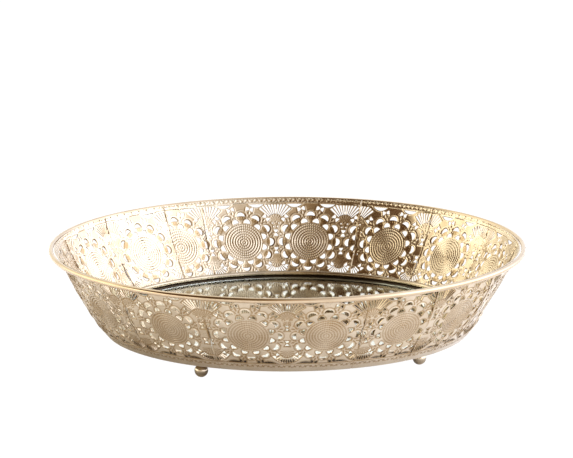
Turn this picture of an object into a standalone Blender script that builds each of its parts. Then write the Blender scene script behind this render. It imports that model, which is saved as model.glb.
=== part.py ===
"""Round brass serving tray with a pierced lace wall, a mirror floor and four ball feet.

Frame: origin on the floor under the centre of the tray, +Z up, front towards -Y, metres.
The wall is a ring of separate pierced sheets that meet at narrow joints. A round wire hoop
runs round the outside of their top edges. At the bottom the wall stands round a shallow spun
pan, which holds a backing board and a round mirror. A bead ring covers the edge between mirror
and wall. Four turned ball feet are screwed to the pan from inside.
"""
import math

import bmesh
import bpy
import numpy as np
from mathutils import Matrix, Vector

MM = 0.001

# Driving dimensions, in metres
RIM_DIAMETER = 350 * MM          # over the outside of the top hoop
RIM_WIRE = 3.8 * MM              # thickness of the top hoop's wire
WALL_FOOT_Z = 14.0 * MM          # height of the wall's bottom edge above the floor
WALL_HEIGHT = 59.5 * MM          # from the wall's bottom edge to the middle of the top hoop
WALL_FOOT_RADIUS = 134.1 * MM    # middle of the sheet at the bottom edge
WALL_BULGE = 4.0 * MM            # how far the flared wall swells past a straight cone
HOOP_OFFSET = 3.0 * MM           # from the middle of the sheet out to the middle of the wire
HOOP_RISE = 0.8 * MM             # how far the wire stands above the sheets' top edge
SHEET = 0.6 * MM                 # thickness of the pierced sheets
FIT_GAP = 0.3 * MM               # gap between pieces that touch

PAN_SHEET = 0.6 * MM
PAN_CLEARANCE = 0.9 * MM         # between the pan's flange and the facets of the wall
PAN_FLOOR_Z = WALL_FOOT_Z + 0.4 * MM
PAN_LIP_Z = WALL_FOOT_Z + 5.3 * MM
BOARD_THICKNESS = 1.7 * MM
GLASS_THICKNESS = 2.0 * MM
BEAD_HEIGHT = 4.4 * MM
BEAD_WIDTH = 2.4 * MM
BEAD_SHOULDER = 0.6 * MM         # size of the bead's rounded corners

BALL_RADIUS = 4.9 * MM
BALL_FLAT_RADIUS = 1.5 * MM      # the small flat that the ball stands on
NECK_RADIUS = 2.6 * MM
COLLAR_RADIUS = 5.5 * MM
COLLAR_THICKNESS = 1.0 * MM
SCREW_RADIUS = 1.5 * MM
SCREW_HEAD_RADIUS = 3.2 * MM
SCREW_HEAD_HEIGHT = 1.1 * MM
FOOT_CIRCLE_RADIUS = 113.0 * MM
FOOT_ANGLES = (-32.9, 57.1, 147.1, 237.1)

# Angles are in degrees from the front, growing towards the right. Each wall sheet runs from
# its own joint to the next one's, and carries the medallions listed with it.
WALL_SHEETS = (
    (-20.6, (-10.2, 10.0)),
    (19.4, (30.7,)),
    (38.5, (51.0,)),
    (60.0, (76.5,)),
    (92.2, (104.3,)),
    (115.8, (128.4,)),
    (138.5, (149.9,)),
    (160.2, (173.6, 192.8)),
    (203.3, (212.0,)),
    (214.0, (224.3,)),
    (235.0, (247.0,)),
    (258.0, (274.0,)),
    (289.7, (301.5,)),
    (315.3, (327.6,)),
)
FULL_TURN = 360.0

# The coarse piercing: one ring of windows round each medallion, and slots above and below
MEDALLION_HEIGHT = 30.3 * MM     # middle of a medallion above the wall's bottom edge
WINDOWS = 12
WINDOW_INNER_RADIUS = 15.6 * MM
WINDOW_OUTER_RADIUS = 20.0 * MM
WINDOW_SHARE = 0.56              # of the window's pitch round the ring
SLOT_HALF_LENGTH = 9.0 * MM
SLOT_HALF_WIDTH = 1.3 * MM
SLOT_OFFSET = 23.6 * MM          # from the medallion's middle, up and down the wall

ROUND_SEGMENTS = 72
WIRE_SEGMENTS = 8
SHEET_STEP = 6.0                 # degrees of arc in one facet of a wall sheet
SHEET_ROWS = 4

WIRE_RADIUS = RIM_WIRE / 2
RIM_RADIUS = RIM_DIAMETER / 2 - WIRE_RADIUS
RIM_Z = WALL_FOOT_Z + WALL_HEIGHT
SHEET_TOP_Z = RIM_Z + WIRE_RADIUS - HOOP_RISE

BRASS = dict(color=(0.72, 0.56, 0.34, 1.0), metallic=1.0, roughness=0.32)
BRASS_POLISHED = dict(color=(0.78, 0.60, 0.35, 1.0), metallic=1.0, roughness=0.18)
STEEL = dict(color=(0.62, 0.61, 0.58, 1.0), metallic=1.0, roughness=0.35)
MIRROR = dict(color=(0.86, 0.90, 0.87, 1.0), metallic=1.0, roughness=0.03)
BOARD = dict(color=(0.20, 0.14, 0.09, 1.0), metallic=0.0, roughness=0.85)


def clear_scene():
    for thing in list(bpy.data.objects):
        bpy.data.objects.remove(thing, do_unlink=True)


def material(name, color, metallic, roughness):
    """A Principled finish, made once for each name."""
    made = bpy.data.materials.get(name)
    if made is None:
        made = bpy.data.materials.new(name)
        made.use_nodes = True
        shader = made.node_tree.nodes["Principled BSDF"]
        shader.inputs["Base Color"].default_value = color
        shader.inputs["Metallic"].default_value = metallic
        shader.inputs["Roughness"].default_value = roughness
    return made


def put_in_scene(name, mesh, finish, smooth_angle=None):
    mesh.materials.append(material(name + "_finish", **finish))
    if smooth_angle is not None:
        mesh.shade_smooth()
        mesh.set_sharp_from_angle(angle=math.radians(smooth_angle))
    piece = bpy.data.objects.new(name, mesh)
    bpy.context.scene.collection.objects.link(piece)
    return piece


def mesh_from(build, name):
    """Runs build on an empty bmesh, turns its faces outwards and returns the mesh."""
    bm = bmesh.new()
    build(bm)
    bmesh.ops.recalc_face_normals(bm, faces=bm.faces)
    mesh = bpy.data.meshes.new(name)
    bm.to_mesh(mesh)
    bm.free()
    return mesh


def turned(bm, profile, segments=ROUND_SEGMENTS):
    """A closed (radius, height) outline spun round Z; a point on the axis becomes one pole."""
    rings = []
    for radius, height in profile:
        if radius == 0:
            rings.append([bm.verts.new((0, 0, height))] * segments)
        else:
            turns = [2 * math.pi * step / segments for step in range(segments)]
            spots = [(radius * math.cos(turn), radius * math.sin(turn), height) for turn in turns]
            rings.append([bm.verts.new(spot) for spot in spots])
    for ring, following in zip(rings, rings[1:] + rings[:1]):
        for step in range(segments):
            after = (step + 1) % segments
            corners = [ring[step], ring[after], following[after], following[step]]
            face = list(dict.fromkeys(corners))
            if len(face) > 2:
                bm.faces.new(face)


def turned_piece(name, profile, finish, segments=ROUND_SEGMENTS, smooth_angle=40):
    mesh = mesh_from(lambda bm: turned(bm, profile, segments), name)
    return put_in_scene(name, mesh, finish, smooth_angle)


def wall_radius(z):
    """Radius of the sheet's middle at height z: a straight flare with a parabola's swell."""
    share = (z - WALL_FOOT_Z) / WALL_HEIGHT
    flare = RIM_RADIUS - HOOP_OFFSET - WALL_FOOT_RADIUS
    return WALL_FOOT_RADIUS + flare * share + 4 * WALL_BULGE * share * (1 - share)


def wall_slope(z):
    """How fast the wall's radius grows with height."""
    step = 0.1 * MM
    return (wall_radius(z + step) - wall_radius(z - step)) / (2 * step)


def wall_point(angle, z, offset=0.0):
    """A point at an angle in degrees and a height, offset along the wall's outward normal."""
    turn = math.radians(angle)
    slope = wall_slope(z)
    normal_length = math.hypot(1, slope)
    radius = wall_radius(z) + offset / normal_length
    return Vector((radius * math.sin(turn), -radius * math.cos(turn), z - offset * slope / normal_length))


def sheet_blank(bm, start, end):
    """An unpierced sheet between two joints: two skins of quads, closed round the edge."""
    gap = math.degrees(FIT_GAP / 2 / RIM_RADIUS) * 1.2
    columns = max(3, round((end - start) / SHEET_STEP))
    angles = np.linspace(start + gap, end - gap, columns + 1)
    heights = np.linspace(WALL_FOOT_Z, SHEET_TOP_Z, SHEET_ROWS + 1)
    skins = []
    for side in (SHEET / 2, -SHEET / 2):
        skins.append([[bm.verts.new(wall_point(a, z, side)) for a in angles] for z in heights])
    for skin in skins:
        for row, above in zip(skin, skin[1:]):
            for column in range(columns):
                bm.faces.new((row[column], row[column + 1], above[column + 1], above[column]))
    border = [(0, column) for column in range(columns)]
    border += [(row, columns) for row in range(SHEET_ROWS)]
    border += [(SHEET_ROWS, column) for column in range(columns, 0, -1)]
    border += [(row, 0) for row in range(SHEET_ROWS, 0, -1)]
    outer, inner = skins
    for (row, column), (next_row, next_column) in zip(border, border[1:] + border[:1]):
        bm.faces.new((outer[row][column], outer[next_row][next_column],
                      inner[next_row][next_column], inner[row][column]))


def window_outlines(medallion):
    """Outlines, as (angle, z) points, of a ring of windows and the slots above and below it."""
    centre_z = WALL_FOOT_Z + MEDALLION_HEIGHT
    lean = math.hypot(1, wall_slope(centre_z))

    def place(across, along):
        z = centre_z + along / lean
        return medallion + math.degrees(across / wall_radius(z)), z

    outlines = []
    half = math.pi / WINDOWS * WINDOW_SHARE
    for window in range(WINDOWS):
        middle = 2 * math.pi * (window + 0.5) / WINDOWS
        corners = ((WINDOW_INNER_RADIUS, middle - half), (WINDOW_OUTER_RADIUS, middle - half * 0.6),
                   (WINDOW_OUTER_RADIUS, middle + half * 0.6), (WINDOW_INNER_RADIUS, middle + half))
        outlines.append([place(r * math.sin(t), r * math.cos(t)) for r, t in corners])
    for side in (-1, 1):
        lozenge = ((-SLOT_HALF_LENGTH, 0), (0, -SLOT_HALF_WIDTH), (SLOT_HALF_LENGTH, 0), (0, SLOT_HALF_WIDTH))
        outlines.append([place(x, side * SLOT_OFFSET + y) for x, y in lozenge])
    return outlines


def prism_cutter(bm, outline):
    """A prism through the wall: the outline on both sides of the sheet, joined up."""
    reach = 2 * MM
    outer = [bm.verts.new(wall_point(a, z, reach)) for a, z in outline]
    inner = [bm.verts.new(wall_point(a, z, -reach)) for a, z in outline]
    bm.faces.new(outer)
    bm.faces.new(inner[::-1])
    for i in range(len(outline)):
        j = (i + 1) % len(outline)
        bm.faces.new((outer[j], outer[i], inner[i], inner[j]))


def clear_of_joints(outline, start, end):
    """True where an outline keeps a bridge of sheet between itself and both joints."""
    bridge = math.degrees(1.2 * MM / WALL_FOOT_RADIUS)
    angles = [a for a, z in outline]
    return start + bridge < min(angles) and max(angles) < end - bridge


def wall_sheet(number, start, end, medallions):
    name = f"wall_sheet_{number:02d}"
    mesh = mesh_from(lambda bm: sheet_blank(bm, start, end), name)
    sheet = put_in_scene(name, mesh, BRASS)
    outlines = [o for m in medallions for o in window_outlines(m) if clear_of_joints(o, start, end)]

    def all_prisms(bm):
        for outline in outlines:
            prism_cutter(bm, outline)

    cutter = bpy.data.objects.new(name + "_cutter", mesh_from(all_prisms, name + "_cutter"))
    bpy.context.scene.collection.objects.link(cutter)
    cutter.hide_render = True
    cutter.display_type = "WIRE"
    cut = sheet.modifiers.new("piercing", "BOOLEAN")
    cut.operation = "DIFFERENCE"
    cut.solver = "EXACT"
    cut.object = cutter


def wall():
    following = [start for start, medallions in WALL_SHEETS[1:]] + [WALL_SHEETS[0][0] + FULL_TURN]
    for number, ((start, medallions), end) in enumerate(zip(WALL_SHEETS, following), 1):
        wall_sheet(number, start, end, medallions)


def rim_hoop():
    """The top hoop: a round wire bent to a circle and brazed shut."""
    turns = [2 * math.pi * step / WIRE_SEGMENTS for step in range(WIRE_SEGMENTS)]
    section = [(RIM_RADIUS + WIRE_RADIUS * math.cos(a), RIM_Z + WIRE_RADIUS * math.sin(a)) for a in turns]
    turned_piece("rim_hoop", section, BRASS_POLISHED, smooth_angle=60)


def pan_outer_radius(z):
    """The pan's flange stands inside the wall and follows its flare."""
    return wall_radius(z) - SHEET / 2 - PAN_CLEARANCE


def mirror_floor():
    """Pan, board, glass and bead, from the bottom up."""
    floor_top = PAN_FLOOR_Z + PAN_SHEET
    screw_holes = 0.4 * MM + SCREW_HEAD_RADIUS
    outside = [(pan_outer_radius(z), z) for z in np.linspace(PAN_FLOOR_Z, PAN_LIP_Z, 3)]
    inside = [(r - PAN_SHEET, z) for r, z in outside[:0:-1]]
    corner = (outside[0][0] - PAN_SHEET, floor_top)
    pan = turned_piece("base_pan", [(0, PAN_FLOOR_Z)] + outside + inside + [corner, (0, floor_top)], BRASS)
    drill(pan, SCREW_RADIUS + FIT_GAP)

    board_z = floor_top + FIT_GAP
    board_top = board_z + BOARD_THICKNESS
    board_radius = corner[0] - 2 * FIT_GAP
    board = turned_piece("backing_board", disc(board_radius, board_z, board_top), BOARD)
    drill(board, screw_holes)

    glass_z = board_top + FIT_GAP
    glass_top = glass_z + GLASS_THICKNESS
    glass_radius = pan_outer_radius(glass_z) - PAN_SHEET - FIT_GAP
    turned_piece("mirror_glass", disc(glass_radius, glass_z, glass_top), MIRROR)

    bead_z = PAN_LIP_Z + FIT_GAP
    bead_top = bead_z + BEAD_HEIGHT
    outer_low = pan_outer_radius(bead_z)
    outer_high = pan_outer_radius(bead_top - BEAD_SHOULDER)
    inner = outer_low - BEAD_WIDTH
    bead = [
        (outer_low, bead_z),
        (outer_high, bead_top - BEAD_SHOULDER),
        (outer_high - BEAD_SHOULDER, bead_top),
        (inner + BEAD_SHOULDER, bead_top),
        (inner, bead_top - BEAD_SHOULDER),
        (inner, bead_z + BEAD_SHOULDER),
        (inner + BEAD_SHOULDER, bead_z),
    ]
    turned_piece("mirror_bead", bead, BRASS_POLISHED)


def disc(radius, low, high):
    return [(0, low), (radius, low), (radius, high), (0, high)]


def foot_places():
    for angle in FOOT_ANGLES:
        turn = math.radians(angle)
        yield Vector((FOOT_CIRCLE_RADIUS * math.sin(turn), -FOOT_CIRCLE_RADIUS * math.cos(turn), 0))


def drill(piece, radius):
    """Cuts a hole through a flat piece over each foot."""
    def pins(bm):
        for place in foot_places():
            middle = Matrix.Translation(place + Vector((0, 0, PAN_FLOOR_Z)))
            bmesh.ops.create_cone(bm, cap_ends=True, segments=12, radius1=radius, radius2=radius,
                                  depth=20 * MM, matrix=middle)

    drill_name = piece.name + "_drill"
    cutter = bpy.data.objects.new(drill_name, mesh_from(pins, drill_name))
    bpy.context.scene.collection.objects.link(cutter)
    cutter.hide_render = True
    cutter.display_type = "WIRE"
    cut = piece.modifiers.new("screw_holes", "BOOLEAN")
    cut.operation = "DIFFERENCE"
    cut.solver = "EXACT"
    cut.object = cutter


def feet():
    """Each foot is a turned ball with a neck, a collar under the pan and a screw from inside."""
    flat_depth = math.sqrt(BALL_RADIUS ** 2 - BALL_FLAT_RADIUS ** 2)
    neck_depth = math.sqrt(BALL_RADIUS ** 2 - NECK_RADIUS ** 2)
    collar_z = PAN_FLOOR_Z - FIT_GAP - COLLAR_THICKNESS
    neck_top = collar_z - FIT_GAP
    lowest = math.acos(-flat_depth / BALL_RADIUS)
    highest = math.acos(neck_depth / BALL_RADIUS)
    steps = np.linspace(lowest, highest, 9)
    ball = [(BALL_RADIUS * math.sin(t), flat_depth + BALL_RADIUS * math.cos(t)) for t in steps]
    tapped = SCREW_RADIUS + FIT_GAP
    tapped_z = flat_depth + neck_depth - 1.0 * MM
    foot = [(0, 0)] + ball + [(NECK_RADIUS, neck_top), (tapped, neck_top), (tapped, tapped_z), (0, tapped_z)]
    collar = [(COLLAR_RADIUS, collar_z), (COLLAR_RADIUS, collar_z + COLLAR_THICKNESS),
              (tapped, collar_z + COLLAR_THICKNESS), (tapped, collar_z)]
    head_z = PAN_FLOOR_Z + PAN_SHEET + FIT_GAP
    screw = [(0, tapped_z + FIT_GAP), (SCREW_RADIUS, tapped_z + FIT_GAP), (SCREW_RADIUS, head_z),
             (SCREW_HEAD_RADIUS, head_z), (SCREW_HEAD_RADIUS * 0.8, head_z + SCREW_HEAD_HEIGHT),
             (0, head_z + SCREW_HEAD_HEIGHT)]
    pieces = (("foot_ball", foot, BRASS_POLISHED, 20), ("foot_collar", collar, BRASS, 16),
              ("foot_screw", screw, STEEL, 12))
    for number, place in enumerate(foot_places(), 1):
        for kind, profile, finish, segments in pieces:
            turned_piece(f"{kind}_{number}", profile, finish, segments).location = place


clear_scene()
wall()
rim_hoop()
mirror_floor()
feet()
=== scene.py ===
"""Round brass serving tray: a pierced lace wall round a shallow pan, with a mirror floor,
a wire hoop at the rim and four ball feet. The sections put it together from the feet up,
and the studio and the camera come last. Sizes are in metres, written as millimetres times
MM. Only the lace wall is worked out in plain millimetres, up to its finished points.
"""
import math

import bmesh
import bpy
import numpy as np
from mathutils import Matrix, Vector


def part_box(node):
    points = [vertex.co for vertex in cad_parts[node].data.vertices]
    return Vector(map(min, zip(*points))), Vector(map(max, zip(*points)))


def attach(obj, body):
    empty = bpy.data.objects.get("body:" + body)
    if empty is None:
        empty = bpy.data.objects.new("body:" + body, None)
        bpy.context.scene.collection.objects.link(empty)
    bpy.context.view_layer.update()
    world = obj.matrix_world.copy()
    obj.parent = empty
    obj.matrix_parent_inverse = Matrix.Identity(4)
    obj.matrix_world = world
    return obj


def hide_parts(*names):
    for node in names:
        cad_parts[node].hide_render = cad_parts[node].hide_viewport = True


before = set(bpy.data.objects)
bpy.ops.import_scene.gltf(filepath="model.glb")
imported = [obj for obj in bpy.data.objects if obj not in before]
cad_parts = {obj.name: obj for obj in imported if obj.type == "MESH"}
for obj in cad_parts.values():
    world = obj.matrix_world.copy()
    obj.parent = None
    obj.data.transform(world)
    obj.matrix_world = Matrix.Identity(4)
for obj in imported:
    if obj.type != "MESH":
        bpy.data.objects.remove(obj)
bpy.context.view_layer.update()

# Ball feet
# Four solid brass balls, each turned in one piece with a short neck. A screw from inside
# the pan pulls each neck up against its collar.
MM = 0.001
FEET = (1, 2, 3, 4)
BALL_TURNS = 64
BALL_STEPS = 40
FLAT_SHARE = 0.3
NECK_SHARE = 0.53
NECK_GROOVE = 0.25 * MM
NECK_CHAMFER = 0.3 * MM
MERGE_DISTANCE = 0.0001 * MM
BRASS_TONE = (0.88, 0.795, 0.635, 1)
BRASS_SHADE = (0.33, 0.225, 0.11, 1)
EVEN_DULLNESS = 0.5
TARNISH_SCALE = 60
TARNISH_SHARE = 0.5
TARNISH_ROUGHNESS = 0.4
GRAIN_SCALE = 2400
GRAIN_ROUGHNESS = 0.08
GRAIN_DEPTH = 0.01 * MM


def add(tree, kind, inputs=None, **settings):
    """Adds a shader node. An input given a socket is linked, any other value is set."""
    made = tree.nodes.new("ShaderNode" + kind)
    for name, value in settings.items():
        setattr(made, name, value)
    for key, value in (inputs or {}).items():
        if isinstance(value, bpy.types.NodeSocket):
            tree.links.new(value, made.inputs[key])
        else:
            made.inputs[key].default_value = value
    return made


def math_node(tree, operation, first, second, clamped=False):
    """One sum or product of two values, kept between 0 and 1 where it is clamped."""
    return add(tree, "Math", {0: first, 1: second}, operation=operation, use_clamp=clamped).outputs[0]


def blend_colours(tree, share, first, second):
    """The first colour where the share is 0, the second where it is 1."""
    return add(tree, "Mix", {0: share, 6: first, 7: second}, data_type="RGBA").outputs[2]


def noise(tree, place, scale, detail):
    """Soft random clouds between 0 and 1."""
    return add(tree, "TexNoise", {"Vector": place, "Scale": scale, "Detail": detail}).outputs["Fac"]


def brass_patina_group():
    """Brass that has gone dull in its hollows: cloudy tarnish, fine grain and brown recesses, and painted
    shade where a mesh marks it.
    The colour goes from Tone to Shade by the even dullness plus the patina-and-shade input plus the clouds."""
    group = bpy.data.node_groups.new("brass_patina", "ShaderNodeTree")
    for label, kind, value in (("Tone", "Color", BRASS_TONE), ("Shade", "Color", BRASS_SHADE),
                               ("PatinaAndShade", "Float", 0.0), ("Roughness", "Float", 0.3)):
        socket = group.interface.new_socket(label, in_out="INPUT", socket_type="NodeSocket" + kind)
        socket.default_value = value
    for label, kind in (("Color", "Color"), ("Roughness", "Float"), ("Height", "Float")):
        group.interface.new_socket(label, in_out="OUTPUT", socket_type="NodeSocket" + kind)
    given = group.nodes.new("NodeGroupInput").outputs
    result = group.nodes.new("NodeGroupOutput").inputs
    place = add(group, "TexCoord").outputs["Object"]
    clouds = noise(group, place, TARNISH_SCALE, 3)
    grain = noise(group, place, GRAIN_SCALE, 2)
    cloudy = math_node(group, "MULTIPLY", math_node(group, "SUBTRACT", clouds, 0.5), TARNISH_SHARE)
    recessed = math_node(group, "ADD", given["PatinaAndShade"], cloudy)
    dull = math_node(group, "ADD", recessed, EVEN_DULLNESS, clamped=True)
    fine = math_node(group, "MULTIPLY", grain, GRAIN_ROUGHNESS)
    uneven = math_node(group, "ADD", fine, math_node(group, "MULTIPLY", cloudy, TARNISH_ROUGHNESS))
    link = group.links.new
    link(blend_colours(group, dull, given["Tone"], given["Shade"]), result["Color"])
    link(math_node(group, "ADD", given["Roughness"], uneven), result["Roughness"])
    link(grain, result["Height"])
    return group


brass_patina = brass_patina_group()


def new_finish(name):
    """An empty material: the material itself, its node tree and its shader."""
    finish = bpy.data.materials.new(name)
    finish.use_nodes = True
    return finish, finish.node_tree, finish.node_tree.nodes["Principled BSDF"]


def brass(name, roughness, tone=BRASS_TONE, shade=BRASS_SHADE, patina_and_shade=False):
    """A brass finish. With the attribute switched on, the mesh's own attribute says where it darkens: patina
    in its hollows, and painted shade at joints, crevices and under the bead.
    """
    finish, tree, shader = new_finish(name)
    shader.inputs["Metallic"].default_value = 1.0
    values = {"Tone": tone, "Shade": shade, "Roughness": roughness}
    patina = add(tree, "Group", values, node_tree=brass_patina)
    if patina_and_shade:
        # The mesh attribute read here holds patina and painted shade together.
        attribute = add(tree, "Attribute", attribute_name="patina_and_shade")
        tree.links.new(attribute.outputs["Fac"], patina.inputs["PatinaAndShade"])
    bump = add(tree, "Bump", {"Height": patina.outputs["Height"], "Distance": GRAIN_DEPTH})
    tree.links.new(patina.outputs["Color"], shader.inputs["Base Color"])
    tree.links.new(patina.outputs["Roughness"], shader.inputs["Roughness"])
    tree.links.new(bump.outputs["Normal"], shader.inputs["Normal"])
    return finish


def place_piece(mesh, finish, node_name, sharp_degrees=35):
    """Puts a mesh in the scene as one piece of the tray, in the place of a CAD node."""
    mesh.shade_smooth()
    mesh.set_sharp_from_angle(angle=math.radians(sharp_degrees))
    mesh.materials.append(finish)
    piece = bpy.data.objects.new(mesh.name, mesh)
    bpy.context.scene.collection.objects.link(piece)
    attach(piece, "root")
    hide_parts(node_name)


def spun(name, radii, heights, turns, centre=(0, 0), ring=False):
    """A profile carried round Z: point (i, j) is radii[i] out from the centre at turn j and
    heights[i] up. A ring's profile closes on itself. Any other profile starts and ends on the
    axis, in a pole."""
    angle = np.arange(turns) * 2 * math.pi / turns
    radii = np.asarray(radii)
    x = centre[0] + np.outer(radii, np.sin(angle))
    y = centre[1] - np.outer(radii, np.cos(angle))
    z = np.repeat(np.asarray(heights)[:, None], turns, axis=1)
    rows = len(radii)
    low = np.arange(rows if ring else rows - 1)[:, None]
    high = (low + 1) % rows
    here = np.arange(turns)[None, :]
    after = (here + 1) % turns
    corners = [low * turns + here, low * turns + after, high * turns + after, high * turns + here]
    points = np.stack([x, y, z], axis=-1).reshape(-1, 3)
    quads = np.stack(corners, axis=-1).reshape(-1, 4)
    mesh = bpy.data.meshes.new(name)
    mesh.from_pydata(points, [], quads.tolist())
    bm = bmesh.new()
    bm.from_mesh(mesh)
    bmesh.ops.remove_doubles(bm, verts=bm.verts, dist=MERGE_DISTANCE)
    bmesh.ops.recalc_face_normals(bm, faces=bm.faces)
    bm.to_mesh(mesh)
    bm.free()
    return mesh


def ball_profile(radius, top):
    """An arc from the standing flat up to the neck, a fine groove, then the straight neck."""
    flat = FLAT_SHARE * radius
    neck = NECK_SHARE * radius
    middle = math.sqrt(radius ** 2 - flat ** 2)
    at_flat = math.pi - math.asin(flat / radius)
    at_neck = math.asin((neck - NECK_GROOVE) / radius)
    turn = np.linspace(at_flat, at_neck, BALL_STEPS)
    arc_r = radius * np.sin(turn)
    arc_z = middle + radius * np.cos(turn)
    neck_r = [neck, neck, neck - NECK_CHAMFER, 0]
    neck_z = [arc_z[-1] + NECK_GROOVE, top - NECK_CHAMFER, top, top]
    return np.concatenate([[0], arc_r, neck_r]), np.concatenate([[0], arc_z, neck_z])


foot_brass = brass("foot_brass_polished", roughness=0.2)
for number in FEET:
    low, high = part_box(f"foot_ball_{number}")
    ball_radius = (high.x - low.x) / 2
    foot_centre = ((low.x + high.x) / 2, (low.y + high.y) / 2)
    foot = spun(f"ball_foot_{number}", *ball_profile(ball_radius, high.z), BALL_TURNS, foot_centre)
    place_piece(foot, foot_brass, f"foot_ball_{number}")

# Collars and screws
# Small brass washers between the pan and the feet, and zinc-plated screws from inside the pan.
# Both are stock parts, kept as they are and given their finish.
ZINC = (0.66, 0.65, 0.62, 1)
ZINC_DULL = (0.40, 0.39, 0.37, 1)


def dress(node_name, finish):
    """Gives a CAD node a finish in every material slot."""
    for material_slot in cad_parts[node_name].material_slots:
        material_slot.material = finish


collar_brass = brass("collar_brass_dull", roughness=0.34)
screw_zinc = brass("screw_zinc_plate", roughness=0.36, tone=ZINC, shade=ZINC_DULL)
for number in FEET:
    dress(f"foot_collar_{number}", collar_brass)
    dress(f"foot_screw_{number}", screw_zinc)

# Base pan
# A shallow pan spun from thin brass sheet. It carries the board, the mirror and the feet,
# and the wall stands round its flange. It stays dull, because the mirror hides its inside.
PAN_TONE = (0.66, 0.52, 0.33, 1)
dress("base_pan", brass("pan_brass_spun", roughness=0.38, tone=PAN_TONE))

# Backing board
# A disc of dark hardboard that keeps the glass off the screw heads. It is pressed from wood
# fibre, so it is matt and mottled.
BOARD_DARK = (0.13, 0.08, 0.045, 1)
BOARD_LIGHT = (0.30, 0.20, 0.12, 1)
FIBRE_STRETCH = (1.0, 0.3, 1.0)
FIBRE_SCALE = 900
FIBRE_DEPTH = 0.1 * MM


def hardboard():
    """Pressed fibre: long thin noise flecks between a dark and a light brown."""
    finish, tree, shader = new_finish("hardboard_fibre")
    place = add(tree, "TexCoord").outputs["Object"]
    stretched = add(tree, "Mapping", {"Vector": place, "Scale": FIBRE_STRETCH}).outputs[0]
    fibre = noise(tree, stretched, FIBRE_SCALE, 4)
    tree.links.new(blend_colours(tree, fibre, BOARD_DARK, BOARD_LIGHT), shader.inputs["Base Color"])
    bump = add(tree, "Bump", {"Height": fibre, "Distance": FIBRE_DEPTH})
    tree.links.new(bump.outputs["Normal"], shader.inputs["Normal"])
    shader.inputs["Roughness"].default_value = 0.85
    return finish


dress("backing_board", hardboard())

# Mirror
# A round of float glass with ground edges, silvered underneath. The pane and its silvering
# are two pieces, so the reflection sits the glass's thickness below the surface.
SILVER_THICKNESS = 0.1 * MM
SILVER_GAP = 0.02 * MM
SILVER_SMOKY = (0.62, 0.63, 0.53, 1)
SILVER_CLEAR = (0.70, 0.70, 0.60, 1)
SMOKE_SCALE = 25
GROUND_EDGE = 0.4 * MM
GLASS_TURNS = 180
GLASS_TINT = (0.95, 0.97, 0.93, 1)
DUST_SCALE = 180
DUST_THIN = 0.55
DUST_THICK = 0.8
DUST_ROUGHNESS = 0.05


def disc(name, radius, bottom, top, edge):
    """A round plate: flat faces out to the edge, and a small chamfer above and below."""
    radii = [0, radius - edge, radius, radius, radius - edge, 0]
    heights = [bottom, bottom, bottom + edge, top - edge, top, top]
    return spun(name, radii, heights, GLASS_TURNS)


def silvering():
    """Silver seen through glass: bright, a little green, with faint smoky clouds."""
    finish, tree, shader = new_finish("mirror_silver")
    smoke = noise(tree, add(tree, "TexCoord").outputs["Object"], SMOKE_SCALE, 4)
    tree.links.new(blend_colours(tree, smoke, SILVER_SMOKY, SILVER_CLEAR), shader.inputs["Base Color"])
    shader.inputs["Metallic"].default_value = 1.0
    shader.inputs["Roughness"].default_value = 0.02
    return finish


def float_glass():
    """Clear, slightly green glass with a trace of dust in its gloss."""
    finish, tree, shader = new_finish("float_glass")
    dust = noise(tree, add(tree, "TexCoord").outputs["Object"], DUST_SCALE, 5)
    gloss = add(tree, "MapRange", {"Value": dust, "From Min": DUST_THIN, "From Max": DUST_THICK,
                                   "To Min": 0.0, "To Max": DUST_ROUGHNESS})
    tree.links.new(gloss.outputs["Result"], shader.inputs["Roughness"])
    shader.inputs["Base Color"].default_value = GLASS_TINT
    shader.inputs["Transmission Weight"].default_value = 1.0
    shader.inputs["IOR"].default_value = 1.5
    return finish


glass_low, glass_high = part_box("mirror_glass")
silver_top = glass_low.z + SILVER_THICKNESS
silver = disc("mirror_silvering", glass_high.x - GROUND_EDGE, glass_low.z, silver_top, SILVER_THICKNESS / 4)
place_piece(silver, silvering(), "mirror_glass")
pane = disc("mirror_pane", glass_high.x, silver_top + SILVER_GAP, glass_high.z, GROUND_EDGE)
place_piece(pane, float_glass(), "mirror_glass")

# Mirror bead
# A ring of polished brass, rolled round above and undercut where it presses on the glass. It
# is sprung in between the wall and the glass and hides the ground edge. Its underside and outer
# side are painted near black, as painted shade for the shadow under its lip.
BEAD_TURNS = 360
BEAD_STEPS = 36
BEAD_HALF_WIDTH = 2.0 * MM
BEAD_INSET = 0.7 * MM
UNDERCUT_RISE = 0.8 * MM
UNDERCUT_HALF_WIDTH = 1.0 * MM
UNDERCUT_TAPER = 0.8
UNDERCUT_LEAN = 1.9 * MM
UNDERCUT_OVERLAP = 0.1 * MM
# How far the bead's painted shade reaches above the undercut and past its outer flank, and how fast it
# fades.
PAINTED_SHADE_ABOVE_UNDERCUT = 0.7 * MM
PAINTED_SHADE_FLANK = 1.1 * MM
PAINTED_SHADE_FADE = 0.7 * MM
BEAD_TONE = (0.84, 0.70, 0.50, 1)
# Near-black colour of the painted shade under the bead.
BEAD_PAINTED_SHADE = (0.06, 0.045, 0.03, 1)


def oval_section(middle_r, middle_z, half_width, half_height, steps):
    """An ellipse round a middle, as radii and heights."""
    turn = np.arange(steps) * 2 * math.pi / steps
    return middle_r + half_width * np.cos(turn), middle_z + half_height * np.sin(turn)


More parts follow.
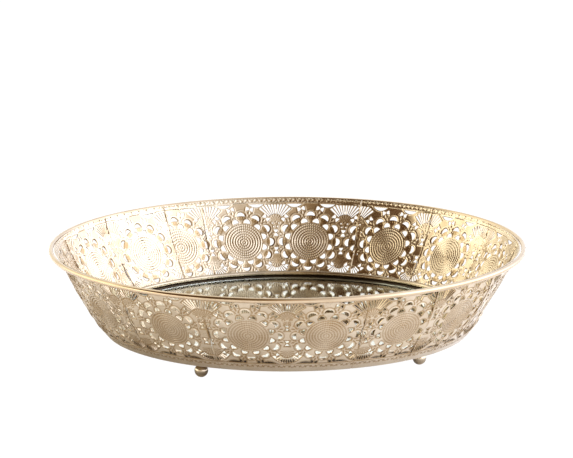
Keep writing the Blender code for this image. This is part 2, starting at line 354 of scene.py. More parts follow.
def bead_section(low_z, middle_r, middle_z, half_height):
    """An ellipse with its underside cut open between the undercut's two sides. From there a neck
    tapers and leans inwards, down to the glass."""
    round_r, round_z = oval_section(middle_r, middle_z, BEAD_HALF_WIDTH, half_height, BEAD_STEPS)
    kept = (np.abs(round_r - middle_r) > UNDERCUT_HALF_WIDTH) | (round_z > middle_z)
    round_r = round_r[kept]
    round_z = round_z[kept]
    order = np.argsort(np.arctan2(round_r - middle_r, round_z - middle_z))
    neck_top = round_z.min() + UNDERCUT_OVERLAP
    neck_side = UNDERCUT_HALF_WIDTH * np.array([1, UNDERCUT_TAPER, -UNDERCUT_TAPER, -1])
    neck_r = middle_r + neck_side - UNDERCUT_LEAN * np.array([0, 1, 1, 0])
    neck_z = [neck_top, low_z, low_z, neck_top]
    return np.concatenate([round_r[order], neck_r]), np.concatenate([round_z[order], neck_z])


bead_low, bead_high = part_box("mirror_bead")
bead_r = bead_high.x - BEAD_INSET - BEAD_HALF_WIDTH
bead_half_height = (bead_high.z - bead_low.z - UNDERCUT_RISE) / 2
bead_profile = bead_section(bead_low.z, bead_r, bead_high.z - bead_half_height, bead_half_height)
bead = spun("bead_ring", *bead_profile, BEAD_TURNS, ring=True)
bead_points = np.empty(len(bead.vertices) * 3)
bead.vertices.foreach_get("co", bead_points)
bead_out = np.hypot(bead_points[0::3], bead_points[1::3]) - bead_r
# Painted shade: the bead goes near black on its underside and on its outer side, for the shadow under its
# lip and behind the lowest holes, and for that shadow's reflection in the glass.
bead_under = bead_low.z + UNDERCUT_RISE + PAINTED_SHADE_ABOVE_UNDERCUT - bead_points[2::3]
bead_painted_shade = np.clip(np.maximum(bead_under, bead_out - PAINTED_SHADE_FLANK) / PAINTED_SHADE_FADE, 0, 1)
bead.attributes.new("patina_and_shade", "FLOAT", "POINT").data.foreach_set("value", bead_painted_shade.astype(np.float32))
bead_brass = brass("bead_brass_polished", roughness=0.15, tone=BEAD_TONE, shade=BEAD_PAINTED_SHADE, patina_and_shade=True)
place_piece(bead, bead_brass, "mirror_bead", sharp_degrees=60)

# Lace wall
# Fourteen sheets of thin brass. Each is pierced and embossed with dies in one unit: a round
# medallion in rings of holes, with fans between units and scroll bands along both edges.
# The sheets are bent to the flare. Their filed sides are turned in a little and soldered.
SHEET_THICKNESS = 0.6
FLARE_STEPS = 400
GRID_STEP = 0.42
SIDE_MARGIN = 2
EDGE_MARGIN = 1
CORNER_CLEARANCE = 0.08
ACROSS_RADIUS = 156.9
MEDALLION_UP = 37.2
SHEET_MEDALLION_DEGREES = {
    1: (-10.2, 10.0), 2: (30.7,), 3: (51.0,), 4: (76.5,), 5: (104.3,), 6: (128.4,), 7: (149.9,),
    8: (173.6, 192.8), 9: (212.0,), 10: (224.3,), 11: (247.0,), 12: (274.0,), 13: (301.5,), 14: (327.6,),
}
WIDEST_UNIT = 58.0
NARROW_SHEET = 50
BORDER = 0.7

# The die's holes. UP and DOWN are heights from a medallion's middle. R is a radius round it, or
# round a fan's apex or a motif's own middle.
MOTIFS = 12
HALF_MOTIF_DEGREES = 15
WINDOW_R = 17.5
WINDOW_DROP = 1.5
MOON_R = 22.3
MOON_DROP = 1.2
MOON_BASE = 0.85
MOON_BOW = 0.05
WING_R = 27.3
WING_ROOT_HALF = 0.4
WING_SPREAD = 0.55
WING_END = 2.6
WING_BRIDGE_HALF = 0.35
WING_CLEAR_OF_SIDE = 4
WING_REACH = 28.3
SIDE_WINGS_UP = 7.2
TOP_APEX_UP = 16.0
TOP_SLIT_END_R = 15.5
TOP_SLIT_END_UP = 13.6
FOOT_APEX_UP = -15.9
FOOT_SLIT_END_R = 11.3
FOOT_SLIT_END_DOWN = 27.2
FAN_WIDEST_COSINE = 0.2
SLIT_SHARE = 0.28
UPPER_SLOT_UP = 30
LOWER_SLOT_DOWN = 27.6
DROPS = 5
DROP_RING_R = 2.6
DROP_RING_UP = 14.2
DROP_HALF = 0.55
DROP_FLATTENING = 1.3

# The die's embossing. RAISE is a height towards the tray's inside.
MEDALLION_R = 15.0
RING_PITCH = 2.0
RINGS = 7
DASH_PITCH = 1.65
RING_RAISE = 0.42
BOSS_RAISE = 0.4
BOSS_R = 0.9
BEADED_RING_R = 20.0
BEADS_IN_RING = 64
BEAD_RAISE = 0.3
SCALLOP_RAISE = 0.42
SCALLOP_R = 4.5
PETAL_DISH = 0.45
LEAF_R = 24.4
LEAF_RAISE = 0.45
FLUTE_RAISE = 0.24
FLUTES = (18, 14)
UPPER_LINE_UP = 31.2
UPPER_BAND_UP = 31.4
LOWER_LINE_DOWN = 28.5
LOWER_BAND_MIDDLE = -31.2
LOWER_BAND_REACH = (-34, -28.8)
VINE_RAISE = 0.28
LIP_RAISE = 0.34
LIP_WIDTH = 0.42

# The sheets' joints, dents, tarnish and painted shade. A pair is where a change starts and ends, up the
# sheet.
FRONT_JOINTS = (1, 2, 3, 14)
JOINT_CLOSING_RADIANS = 0.00105
HAIRLINE_HALF = 0.03
OPENED_HALF = 0.16
CLOSED_HALF = 0.02
OPENING_RISE = (-33, -27)
FOLD_DEPTH = 0.6
# The fold along a joint is bent in and also carries painted shade, for the shadow in the joint.
FOLD_WIDTH = 0.7
FOLD_RISE = (-31, -26)
LEAST_FOLD = 0.15
SINGLE_FLATNESS = 0.6
PAIR_FLATNESS = 0.25
FLATNESS_RISE_SHARES = (0.12, 0.4)
SLOW_DENTS = 0.4
SMALL_DENTS = 0.2
DENTS_RISE = (-33, -22)
DENTS_BELOW_TOP = 8
MEDALLION_TARNISH = 0.45
MORE_TARNISH_ROUND_IT = 0.3
INSIDE_TARNISH = 0.5
INSIDE_TARNISH_RISE = (-34, -33)
# Where the painted shade of the foot's crevice, on the inside, starts and ends.
PAINTED_CREVICE_TOP = (-30, -27.5)


def node_points(name):
    """The vertices of a CAD node as an array, in millimetres."""
    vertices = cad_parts[name].data.vertices
    points = np.empty(len(vertices) * 3)
    vertices.foreach_get("co", points)
    return points.reshape(-1, 3) / MM


wall_points = np.concatenate([node_points(f"wall_sheet_{number:02d}") for number in SHEET_MEDALLION_DEGREES])
flare = np.polyfit(wall_points[:, 2], np.hypot(wall_points[:, 0], wall_points[:, 1]), 2)
wall_z = np.linspace(wall_points[:, 2].min(), wall_points[:, 2].max(), FLARE_STEPS)
wall_r = np.polyval(flare, wall_z)
wall_up = np.concatenate([[0], np.cumsum(np.hypot(np.diff(wall_z), np.diff(wall_r)))])
wall_lean = np.arctan(np.gradient(wall_r, wall_z))
TOP_Y = wall_up[-1] - MEDALLION_UP
FOOT_Y = -MEDALLION_UP


def smooth_step(low, high, value):
    """Rises smoothly from 0 at low to 1 at high, or falls where high is the lower one."""
    share = np.clip((value - low) / (high - low), 0, 1)
    return share * share * (3 - 2 * share)


def bell(distance, width):
    """A soft raised line: a bell curve of the distance from its middle."""
    return np.exp(-(distance / width) ** 2)


def from_medallion(x, pitch):
    """Sideways from the middle of the nearest medallion, with one every pitch."""
    return (x + pitch / 2) % pitch - pitch / 2


def from_fan(x, pitch):
    """Sideways from the nearest fan's middle, half a pitch from the medallions."""
    return x % pitch - pitch / 2


def ring_of(rho, turn, radius, count, first_degrees):
    """Folds a ring of equal motifs onto one: how far outwards and sideways of its middle."""
    step = 2 * math.pi / count
    folded = (turn - math.radians(first_degrees) + step / 2) % step - step / 2
    return rho * np.cos(folded) - radius, rho * np.sin(folded)


def from_apex(x, y, apex_y, facing):
    """Distance from a fan's apex, and the turn from straight up, or straight down for facing -1."""
    return np.hypot(x, y - apex_y), np.arctan2(x, (y - apex_y) * facing)


def fan(x, y, apex_y, facing, count, step_degrees, inner, outer):
    """Slits that spread from an apex. A point goes with the slit nearest to its turn, which is
    open over a share of the step to each side, from the inner radius to the outer one."""
    rho, turn = from_apex(x, y, apex_y, facing)
    step = math.radians(step_degrees)
    first = step / 2 * ((count + 1) % 2)
    number = np.clip(np.round((turn - first) / step), -(count // 2), (count - 1) // 2)
    aside = np.abs(rho * np.sin(turn - first - number * step))
    slit = np.minimum(SLIT_SHARE * step * rho - aside, np.minimum(rho - inner, outer(turn) - rho))
    return np.where(np.cos(turn) > FAN_WIDEST_COSINE, slit, -1.0)


def top_fan_end(turn):
    """The upper slits end on a round, or on the straight line below the top band if it is nearer."""
    return np.minimum(TOP_SLIT_END_R, TOP_SLIT_END_UP / np.cos(np.clip(turn, -0.9, 0.9)))


def foot_fan_end(turn):
    """The lower slits end on a round."""
    return np.full_like(turn, FOOT_SLIT_END_R)


def wing_pair(along, aside):
    """Two wings, one to each side of a bridge, that widen evenly from their roots to their ends."""
    along = np.abs(along)
    wing = np.minimum(WING_ROOT_HALF + WING_SPREAD * along - np.abs(aside), WING_END - along)
    return np.minimum(wing, along - WING_BRIDGE_HALF)


def dome_hole(side, out, half_width, half_height, steepness):
    """Inside of an ellipse: the steepness at its middle, 0 at its edge and less outside."""
    return (1 - np.hypot(side / half_width, out / half_height)) * steepness


def lens_slot(past_line, aside, depth, half_length):
    """A slot from a straight line to a bow: depth deep in its middle, nothing at its ends."""
    return np.minimum(past_line, depth * (1 - (aside / half_length) ** 2) - past_line)


def piercing(x, y, pitch):
    """How far inside a hole a point is, in mm, and less than zero on metal. The holes are rings of
    domed windows, half moons and pairs of wings round each medallion, more wings and fans of
    slits between units, lens-shaped slots along both bands and drops below each upper fan."""
    unit_x = from_medallion(x, pitch)
    fan_x = from_fan(x, pitch)
    rho, turn = np.hypot(unit_x, y), np.arctan2(unit_x, y)
    out, side = ring_of(rho, turn, WINDOW_R, MOTIFS, HALF_MOTIF_DEGREES)
    dome = dome_hole(side, out + WINDOW_DROP, half_width=2.4, half_height=3.2, steepness=2.6)
    windows = np.minimum(dome, out + WINDOW_DROP)
    out, side = ring_of(rho, turn, MOON_R, MOTIFS, 0)
    dome = dome_hole(side, out + MOON_DROP, half_width=3.1, half_height=3.2, steepness=2.8)
    moons = np.minimum(dome, out + MOON_BASE + MOON_BOW * side ** 2)
    out, side = ring_of(rho, turn, WING_R, MOTIFS, HALF_MOTIF_DEGREES)
    in_unit = (np.abs(unit_x) < pitch / 2 - WING_CLEAR_OF_SIDE) & (np.abs(y) < WING_REACH)
    wings = np.where(in_unit, wing_pair(side, out), -1.0)
    side_wings = wing_pair(np.abs(y) - SIDE_WINGS_UP, fan_x)
    upper_slits = fan(fan_x, y, TOP_APEX_UP, 1, count=11, step_degrees=9.2, inner=6.5, outer=top_fan_end)
    lower_slits = fan(fan_x, y, FOOT_APEX_UP, -1, count=10, step_degrees=11.5, inner=5.8, outer=foot_fan_end)
    lower_slits = np.minimum(lower_slits, y + FOOT_SLIT_END_DOWN)
    half_x = np.abs(unit_x)
    upper_slots = lens_slot(UPPER_SLOT_UP - y, half_x - 12.2, depth=2.4, half_length=5.5)
    lower_slots = lens_slot(y + LOWER_SLOT_DOWN, half_x - 13.5, depth=2.1, half_length=6)
    drop_y = y - DROP_RING_UP
    out, side = ring_of(np.hypot(fan_x, drop_y), np.arctan2(fan_x, drop_y), DROP_RING_R, DROPS, 0)
    drops = np.where(y < TOP_APEX_UP, DROP_HALF - np.hypot(out, side * DROP_FLATTENING), -1.0)
    slits_and_slots = (upper_slits, lower_slits, upper_slots, lower_slots)
    return np.maximum.reduce((windows, moons, wings, side_wings, *slits_and_slots, drops))


def vine(x, y, middle, swing, period):
    """A raised stem that follows a sine wave, with a round leaf in each of its bends."""
    phase = 2 * math.pi * x / period
    stem = bell(y - middle - swing * np.sin(phase), 0.32)
    leaf_x = (x + period / 4) % (period / 2) - period / 4
    leaf_y = y - middle + 0.55 * swing * np.sign(np.sin(phase))
    leaf = np.clip(1.2 - np.hypot(leaf_x / 1.1, leaf_y / 0.8) ** 2, 0, 1)
    return VINE_RAISE * np.maximum(stem, leaf)


def medallion_relief(rho, turn):
    """Rings of dashes round a small boss: each ring is a soft ridge that dips between dashes."""
    ring = np.clip(np.round(rho / RING_PITCH), 1, RINGS)
    dashes = np.round(2 * math.pi * ring * RING_PITCH / DASH_PITCH)
    ridge = 1 - smooth_step(0.45, 0.95, np.abs(rho - ring * RING_PITCH))
    dash = ridge * (0.5 + 0.5 * smooth_step(-0.9, 0.3, np.cos(dashes * turn)))
    return RING_RAISE * dash * (rho < MEDALLION_R) + BOSS_RAISE * np.clip(1 - (rho / BOSS_R) ** 2, 0, 1)


def petal_relief(rho, turn):
    """Round each medallion: a beaded ring, petals with a scalloped outline and a dished middle,
    and a small leaf between each two petals."""
    beads = BEAD_RAISE * bell(rho - BEADED_RING_R, 0.5) * (0.6 + 0.4 * np.cos(BEADS_IN_RING * turn))
    out, side = ring_of(rho, turn, MOON_R, MOTIFS, 0)
    scallop = np.hypot(side / SCALLOP_R, (out + 1.2) / SCALLOP_R) - 1
    petals = SCALLOP_RAISE * bell(scallop * SCALLOP_R, 0.5) * (out > -1.5)
    petals -= PETAL_DISH * np.clip(1 - np.hypot(side / 5.0, out / 4.6) ** 2, 0, 1)
    out, side = ring_of(rho, turn, LEAF_R, MOTIFS, HALF_MOTIF_DEGREES)
    leaves = LEAF_RAISE * np.clip(1 - (out / 1.7) ** 2 - (side / 0.75) ** 2, 0, 1)
    return beads + petals + leaves


def shell_relief(fan_x, y):
    """Fluted shells inside both fans: waves round each apex that fade at the shell's edge."""
    rho, turn = from_apex(fan_x, y, TOP_APEX_UP, 1)
    upper_shell = (1 - smooth_step(5.4, 6.4, rho)) * smooth_step(14.5, 17.5, y)
    flutes = FLUTE_RAISE * (0.5 + 0.5 * np.cos(FLUTES[0] * turn)) * upper_shell
    rho, turn = from_apex(fan_x, y, FOOT_APEX_UP, -1)
    lower_shell = (1 - smooth_step(4.9, 5.9, rho)) * smooth_step(-12.0, -15.5, y)
    return flutes + FLUTE_RAISE * (0.5 + 0.5 * np.cos(FLUTES[1] * turn)) * lower_shell


def band_relief(x, y):
    """A raised line beside both bands and under the rim, and a vine along each band."""
    lines = 0.4 * bell(y - UPPER_LINE_UP, 0.4) + 0.35 * bell(y + LOWER_LINE_DOWN, 0.4)
    lines = lines + 0.3 * bell(y - TOP_Y + 0.6, 0.45)
    upper_vine = vine(x, y, (UPPER_BAND_UP + TOP_Y) / 2, swing=0.9, period=7.0) * (y > UPPER_BAND_UP)
    lower_vine = vine(x, y, LOWER_BAND_MIDDLE, swing=1.1, period=8.4)
    lower_vine = lower_vine * (y < LOWER_BAND_REACH[1]) * (y > LOWER_BAND_REACH[0])
    return lines + upper_vine + lower_vine


def relief(x, y, pitch):
    """Height of the embossing towards the tray's inside, in mm: medallion, petals, shells and
    bands, and a lip round every hole outside the medallion."""
    unit_x = from_medallion(x, pitch)
    rho, turn = np.hypot(unit_x, y), np.arctan2(unit_x, y)
    lips = LIP_RAISE * bell(piercing(x, y, pitch) + 0.45, LIP_WIDTH) * (rho > MEDALLION_R)
    embossed = medallion_relief(rho, turn) + petal_relief(rho, turn) + shell_relief(from_fan(x, pitch), y)
    return embossed + band_relief(x, y) + lips


def joint_wave(joint, y):
    """The hand-filed line of one joint and half its gap, along the height, in mm. The joints at
    the front have opened a little with use."""
    line = 0.25 * np.sin(y / 5.3 + 2.1 * joint) + 0.15 * np.sin(y / 2.1 + 4.7 * joint)
    opened = OPENED_HALF if joint in FRONT_JOINTS else CLOSED_HALF
    uneven = (1 + np.sin(y / 8.5 + 3.3 * joint)) / 2
    return line, HAIRLINE_HALF + opened * smooth_step(*OPENING_RISE, y) * uneven


def marching_cells(field):
    """Cuts a grid along the zero line of a field. Returns the places of the kept vertices on the
    grid, the polygons as flat loops, the same loops turned over, their sizes and the border
    steps, all as whole arrays. Each cell is walked round corner, edge, corner and so on,
    keeping the corners inside and the edges that the zero line crosses."""
    rows, columns = field.shape
    inside = field > 0
    flat_cross = inside[:, :-1] != inside[:, 1:]
    tall_cross = inside[:-1] != inside[1:]
    corner_id = np.cumsum(inside).reshape(inside.shape) - 1
    flat_id = np.cumsum(flat_cross).reshape(flat_cross.shape) - 1 + inside.sum()
    tall_id = np.cumsum(tall_cross).reshape(tall_cross.shape) - 1 + inside.sum() + flat_cross.sum()
    corner_id = np.where(inside, corner_id, -1)
    flat_id = np.where(flat_cross, flat_id, -1)
    tall_id = np.where(tall_cross, tall_id, -1)
    row, column = np.mgrid[0:rows, 0:columns].astype(float)

    def share(first, second):
        """Where the zero line crosses between two grid values, kept off the corners."""
        return np.clip(first / (first - second + 1e-12), CORNER_CLEARANCE, 1 - CORNER_CLEARANCE)

    flat_share = share(field[:, :-1], field[:, 1:])[flat_cross]
    tall_share = share(field[:-1], field[1:])[tall_cross]
    at_row = [row[inside], row[:, :-1][flat_cross], row[:-1][tall_cross] + tall_share]
    at_column = [column[inside], column[:, :-1][flat_cross] + flat_share, column[:-1][tall_cross]]
    ids = np.stack([
        corner_id[:-1, :-1], flat_id[:-1], corner_id[:-1, 1:], tall_id[:, 1:],
        corner_id[1:, 1:], flat_id[1:], corner_id[1:, :-1], tall_id[:, :-1],
    ], axis=-1).reshape(-1, 8)
    ids = ids[(ids >= 0).sum(axis=1) > 2]
    kept = ids >= 0
    sizes = kept.sum(axis=1)
    loops = ids[kept]
    turned_loops = ids[:, ::-1][kept[:, ::-1]]
    on_edge = np.broadcast_to(np.arange(8) % 2 == 1, ids.shape)[kept]
    starts = np.concatenate([[0], np.cumsum(sizes)[:-1]])
    following = np.arange(len(loops)) + 1
    following[starts + sizes - 1] = starts
    border = on_edge & on_edge[following]
    steps = np.stack([loops[border], loops[following[border]]], axis=1)
    return np.concatenate(at_row), np.concatenate(at_column), loops, turned_loops, sizes, steps


def wall_place(x, y, middle_degrees, sheet_middle, sheet_half, flatness):
    """A point of the sheet's middle and its outward normal. The sheet is bent a little less than
    the full round between its joints, and keeps to the round along both edges."""
    up = y + MEDALLION_UP
    turn = math.radians(middle_degrees) + x / ACROSS_RADIUS
    z, radius, lean = (np.interp(up, wall_up, column) for column in (wall_z, wall_r, wall_lean))
    share = np.clip(up / wall_up[-1], 0, 1)
    flat = flatness * (1 - (2 * share - 1) ** 4) * smooth_step(*FLATNESS_RISE_SHARES, share)
    chord = math.cos(sheet_half) / np.cos(np.clip(turn - sheet_middle, -sheet_half, sheet_half))
    radius = radius * (1 - flat + flat * chord)
    middle = np.stack([radius * np.sin(turn), -radius * np.cos(turn), z], axis=-1)
    normal = np.stack([np.sin(turn) * np.cos(lean), -np.cos(turn) * np.cos(lean), -np.sin(lean)], axis=-1)
    return middle, normal


def buckle(x, y, number):
    """Slow dents of a hand-worked sheet, in mm, that fade towards its foot and its top."""
    slow = SLOW_DENTS * np.sin(x / 9.1 + 1.7 * number) * np.sin(y / 12.3 + 0.9 * number)
    small = SMALL_DENTS * np.sin(x / 4.3 - y / 6.1 + 2.6 * number)
    held = smooth_step(*DENTS_RISE, y) * smooth_step(TOP_Y, TOP_Y - DENTS_BELOW_TOP, y)
    return held * (slow + small)


def tarnish_and_shade(x, y, pitch, raised, fold_and_shade):
    """How dark each point is, outside then inside: on the outside the embossing shows as tarnished hollows,
    and painted shade darkens the fold at a joint. On the inside the ground between the embossing is
    tarnished, and painted shade darkens the foot's crevice."""
    rho = np.hypot(from_medallion(x, pitch), y)
    depth = MEDALLION_TARNISH + MORE_TARNISH_ROUND_IT * smooth_step(MEDALLION_R, MEDALLION_R + 2, rho)
    # Outside: patina in the embossing's hollows, and painted shade along the fold at a joint.
    outside = np.maximum(depth * smooth_step(0.05, 0.35, raised), fold_and_shade)
    ground = smooth_step(*INSIDE_TARNISH_RISE, y) * (1 - smooth_step(-0.2, 0.3, raised))
    # Painted shade: the inside goes fully dark near the foot, for the shade in the crevice above the bead.
    crevice_shade = 1 - smooth_step(*PAINTED_CREVICE_TOP, y)
    inside = np.maximum(INSIDE_TARNISH * ground, crevice_shade)
    return np.concatenate([outside, inside]).astype(np.float32)


def unit_pitch(medallions, first, last):
    """The width of one die unit: the step between two medallions, or a sheet's width up to the
    widest unit, or on a narrow sheet twice its longer side."""
    if len(medallions) == 2:
        return math.radians(medallions[1] - medallions[0]) * ACROSS_RADIUS
    if last - first > NARROW_SHEET:
        return min(last - first, WIDEST_UNIT)
    return 2 * max(abs(first), abs(last))


def lace_sheet(number, medallions, start, end):
    """One pierced, embossed sheet between the turns start and end, in radians. The grid of its
    middle is cut along its outline and its holes, raised by the relief, and then moved half the
    thickness out and in for its two skins, with walls along every cut."""
    middle_degrees = sum(medallions) / len(medallions)
    first = (start - math.radians(middle_degrees)) * ACROSS_RADIUS
    last = (end - math.radians(middle_degrees)) * ACROSS_RADIUS
    pitch = unit_pitch(medallions, first, last)
    shift = pitch / 2 if len(medallions) == 2 else 0
    x_line = np.arange(first - SIDE_MARGIN, last + SIDE_MARGIN, GRID_STEP)
    y_line = np.arange(FOOT_Y - EDGE_MARGIN, TOP_Y + EDGE_MARGIN, GRID_STEP)
    x, y = np.meshgrid(x_line, y_line)
    left_line, left_gap = joint_wave(number, y)
    right_line, right_gap = joint_wave(number % len(SHEET_MEDALLION_DEGREES) + 1, y)
    across = np.minimum(x - first - left_line - left_gap, last + right_line - right_gap - x)
    outline = np.minimum(across, np.minimum(y - FOOT_Y, TOP_Y - y))
    holes = np.minimum(piercing(x + shift, y, pitch), outline - BORDER)
    cut = marching_cells(np.minimum(outline, -holes))
    at_row, at_column, loops, turned_loops, sizes, border = cut
    x = np.interp(at_column, np.arange(len(x_line)), x_line)
    y = np.interp(at_row, np.arange(len(y_line)), y_line)
    raised = relief(x + shift, y, pitch)
    # Painted shade: near the sheet's sides the fold also darkens the colour, standing in for the shadow in
    # the joint; it comes and goes up the sheet.
    fold_reach = smooth_step(-0.1, 0.7, np.sin(y / 7.0 + 2.3 * number)) * smooth_step(*FOLD_RISE, y)
    fold_reach = LEAST_FOLD + (1 - LEAST_FOLD) * fold_reach
    fold_and_shade = bell(np.minimum(x - first, last - x), FOLD_WIDTH) * fold_reach
    flatness = SINGLE_FLATNESS if len(medallions) == 1 else PAIR_FLATNESS
    middle, normal = wall_place(x, y, middle_degrees, (start + end) / 2, (end - start) / 2, flatness)
    middle = middle - normal * (raised + FOLD_DEPTH * fold_and_shade + buckle(x, y, number))[:, None]
    half = normal * SHEET_THICKNESS / 2
    points = np.concatenate([middle + half, middle - half]) * MM

    count = len(at_row)
    walls = np.stack([border[:, 1], border[:, 0], border[:, 0] + count, border[:, 1] + count], axis=1)
    all_loops = np.concatenate([loops, turned_loops + count, walls.ravel()]).astype(np.int32)
    all_sizes = np.concatenate([sizes, sizes, np.full(len(walls), 4)])
    loop_starts = np.concatenate([[0], np.cumsum(all_sizes)[:-1]]).astype(np.int32)
    mesh = bpy.data.meshes.new(f"lace_sheet_{number:02d}")
    mesh.vertices.add(len(points))
    mesh.vertices.foreach_set("co", points.ravel())
    mesh.loops.add(len(all_loops))
    mesh.loops.foreach_set("vertex_index", all_loops)
    mesh.polygons.add(len(all_sizes))
    mesh.polygons.foreach_set("loop_start", loop_starts)
    mesh.update(calc_edges=True)
    patina_and_shade = mesh.attributes.new("patina_and_shade", "FLOAT", "POINT")
    patina_and_shade.data.foreach_set("value", tarnish_and_shade(x + shift, y, pitch, raised, fold_and_shade))
    return mesh


def sheet_span(number):
    """The turns at which a CAD sheet starts and ends, from the front, growing to the right. Each
    end runs on over half of the CAD's gap."""
    points = node_points(f"wall_sheet_{number:02d}")
    turn = np.arctan2(points[:, 0], -points[:, 1])
    medallions = SHEET_MEDALLION_DEGREES[number]
    middle = math.radians(sum(medallions) / len(medallions))
    aside = (turn - middle + math.pi) % (2 * math.pi) - math.pi
    return middle + aside.min() - JOINT_CLOSING_RADIANS, middle + aside.max() + JOINT_CLOSING_RADIANS


lace_brass = brass("lace_brass_embossed", roughness=0.2, patina_and_shade=True)
for number, medallions in SHEET_MEDALLION_DEGREES.items():
    lace = lace_sheet(number, medallions, *sheet_span(number))
    place_piece(lace, lace_brass, f"wall_sheet_{number:02d}", sharp_degrees=50)

# Rim hoop
# A round brass wire, bent to a circle round the outside of the sheets' top edges and brazed
# shut. It is the tray's rim and its carrying edge, and it is polished by handling.
HOOP_TURNS = 480
HOOP_STEPS = 24
RIM_TONE = (0.74, 0.60, 0.43, 1)

hoop_low, hoop_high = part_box("rim_hoop")
wire_r = (hoop_high.z - hoop_low.z) / 2
rim_z = (hoop_high.z + hoop_low.z) / 2
wire_section = oval_section(hoop_high.x - wire_r, rim_z, wire_r, wire_r, HOOP_STEPS)
hoop = spun("wire_hoop", *wire_section, HOOP_TURNS, ring=True)
rim_brass = brass("rim_brass_polished", roughness=0.1, tone=RIM_TONE)
place_piece(hoop, rim_brass, "rim_hoop", sharp_degrees=60)

# Studio
# A white table in a white room, lit from all round and more strongly from the right. The light
# is a little warm on the left and a little cool on the right. The viewer's end of the room,
# above the table, is unlit and brown, and darkest on the left.
TABLE_HALF = 6000 * MM
TABLE_DIM = (0.74, 0.74, 0.74, 1)
TABLE_LIGHT = (0.78, 0.78, 0.78, 1)
PLAIN_WHITE = (1, 1, 1, 1)
MOTTLE_SCALE = 40
TABLE_GLOW = 1.05
TABLE_SEEN_WHITE = 0.97
ROOM_LIGHT = 2.45
RIGHT_LIGHT = 2.6
SHINE_ROOM = 1.4
SHINE_SIDES = 1.3
SHINE_RIGHT = 0.7
WARM_LEFT = (1.0, 0.96, 0.83, 1)
COOL_RIGHT = (0.96, 0.99, 1.13, 1)
BROWN_LEFT = (0.10, 0.052, 0.020, 1)
BROWN_RIGHT = (0.56, 0.405, 0.23, 1)

# Each pair is where a change starts and ends, in the X, Y or Z of the direction looked in.
RISE_TO_RIGHT = (0.2, 0.8)
RISE_TO_SIDES = (0.5, 0.9)
UNLIT_TOWARDS_VIEWER = (0.10, -0.08)
UNLIT_LEAN = 0.3
UNLIT_ABOVE_TABLE = (0.06, 0.28)
UNLIT_RIGHT_END = (0.55, -0.25)
UNLIT_LEFT_END = (-0.91, -0.81)
BROWN_ACROSS = (-0.6, 0.3)
BROWN_BESIDE_VIEWER = (-0.60, -0.40)
WHITE_ACROSS = (-0.5, 0.6)


def eased(tree, value, low, high):
    """Rises smoothly from 0 at low to 1 at high, or falls where high is the lower one."""
    ramp = add(tree, "MapRange", {"Value": value, "From Min": low, "From Max": high},
               interpolation_type="SMOOTHSTEP")
    return ramp.outputs["Result"]


def unlit_end(tree, way):
    """1 towards the viewer's end of the room and above the table, between its two ends."""
    past_top = math_node(tree, "SUBTRACT", way["Y"], math_node(tree, "MULTIPLY", way["Z"], UNLIT_LEAN))
    towards = eased(tree, past_top, *UNLIT_TOWARDS_VIEWER)
    nearer = math_node(tree, "MULTIPLY", towards, eased(tree, way["Z"], *UNLIT_ABOVE_TABLE))
    from_right = eased(tree, way["X"], *UNLIT_RIGHT_END)
    middle = math_node(tree, "MULTIPLY", from_right, eased(tree, way["X"], *UNLIT_LEFT_END))
    return math_node(tree, "MULTIPLY", nearer, middle)


def white_room():
    """The light from each direction: white, stronger on the right, and brown at the viewer's end.
    What the metal mirrors is a dimmer room, lit more from both sides, and the eye sees white."""
    world = bpy.data.worlds.new("white_room")
    world.use_nodes = True
    tree = world.node_tree
    tree.nodes.clear()
    way = add(tree, "SeparateXYZ", {0: add(tree, "TexCoord").outputs["Generated"]}).outputs
    rightward = eased(tree, way["X"], *RISE_TO_RIGHT)
    sideways = eased(tree, math_node(tree, "ABSOLUTE", way["X"], 0.0), *RISE_TO_SIDES)
    soft = math_node(tree, "ADD", ROOM_LIGHT, math_node(tree, "MULTIPLY", rightward, RIGHT_LIGHT))
    shine = math_node(tree, "ADD", SHINE_ROOM, math_node(tree, "MULTIPLY", sideways, SHINE_SIDES))
    shine = math_node(tree, "ADD", shine, math_node(tree, "MULTIPLY", rightward, SHINE_RIGHT))
    paths = add(tree, "LightPath").outputs
    level = add(tree, "Mix", {0: paths["Is Glossy Ray"], 2: soft, 3: shine}, data_type="FLOAT").outputs[0]
    brown = blend_colours(tree, eased(tree, way["X"], *BROWN_ACROSS), BROWN_LEFT, BROWN_RIGHT)
    brown = blend_colours(tree, eased(tree, way["Y"], *BROWN_BESIDE_VIEWER), brown, BROWN_LEFT)
    white = blend_colours(tree, eased(tree, way["X"], *WHITE_ACROSS), WARM_LEFT, COOL_RIGHT)
    tint = blend_colours(tree, unlit_end(tree, way), white, brown)
    room = add(tree, "Background", {"Color": tint, "Strength": level})
    seen = add(tree, "Background", {"Color": PLAIN_WHITE, "Strength": 1.0})
    either = add(tree, "MixShader", {0: paths["Is Camera Ray"], 1: room.outputs[0], 2: seen.outputs[0]})
    add(tree, "OutputWorld", {"Surface": either.outputs[0]})
    return world


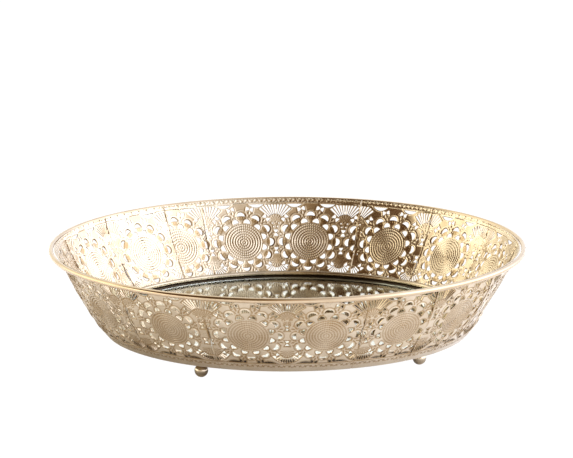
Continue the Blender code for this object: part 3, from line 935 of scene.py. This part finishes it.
def white_table():
    """A matt white top with a very faint mottle, lifted to plain white where it is seen directly."""
    finish, tree, shader = new_finish("table_white")
    shader.inputs["Roughness"].default_value = 0.7
    mottle = noise(tree, add(tree, "TexCoord").outputs["Object"], MOTTLE_SCALE, 3)
    tree.links.new(blend_colours(tree, mottle, TABLE_DIM, TABLE_LIGHT), shader.inputs["Base Color"])
    glow = add(tree, "Emission", {"Color": PLAIN_WHITE, "Strength": TABLE_GLOW})
    direct = math_node(tree, "MULTIPLY", add(tree, "LightPath").outputs["Is Camera Ray"], TABLE_SEEN_WHITE)
    either = add(tree, "MixShader", {0: direct, 1: shader.outputs[0], 2: glow.outputs[0]})
    tree.links.new(either.outputs[0], tree.nodes["Material Output"].inputs["Surface"])
    return finish


table_mesh = bpy.data.meshes.new("table")
table_corners = [
    (-TABLE_HALF, -TABLE_HALF, 0), (TABLE_HALF, -TABLE_HALF, 0),
    (TABLE_HALF, TABLE_HALF, 0), (-TABLE_HALF, TABLE_HALF, 0),
]
table_mesh.from_pydata(table_corners, [], [(0, 1, 2, 3)])
table_mesh.materials.append(white_table())
table = bpy.data.objects.new("table", table_mesh)
bpy.context.scene.collection.objects.link(table)
bpy.context.scene.world = white_room()
bpy.context.scene.view_settings.view_transform = "Standard"

# Camera
# A long lens a little above the rim, far enough back that the tray's ellipse stays flat. It is
# aimed at the rim's middle, with small turns that set the tray in its place in the frame.
LENS_MILLIMETRES = 214.3
SENSOR_MILLIMETRES = 36
VIEW_DISTANCE = 2502.5 * MM
VIEW_PITCH = math.radians(12.43)
VIEW_ROLL = math.radians(-0.20)
AIM_ABOVE_RADIANS = 0.00516
AIM_LEFT_RADIANS = 0.00021

lens = bpy.data.cameras.new("view")
lens.lens = LENS_MILLIMETRES
lens.sensor_width = SENSOR_MILLIMETRES
camera = bpy.data.objects.new("view", lens)
aim = Matrix.Rotation(math.pi / 2 - VIEW_PITCH + AIM_ABOVE_RADIANS, 3, "X")
aim = Matrix.Rotation(AIM_LEFT_RADIANS, 3, "Z") @ aim @ Matrix.Rotation(VIEW_ROLL, 3, "Z")
back = Vector((0, -math.cos(VIEW_PITCH), math.sin(VIEW_PITCH)))
camera.location = Vector((0, 0, rim_z)) + VIEW_DISTANCE * back
camera.rotation_euler = aim.to_euler()
bpy.context.scene.collection.objects.link(camera)
bpy.context.scene.camera = camera
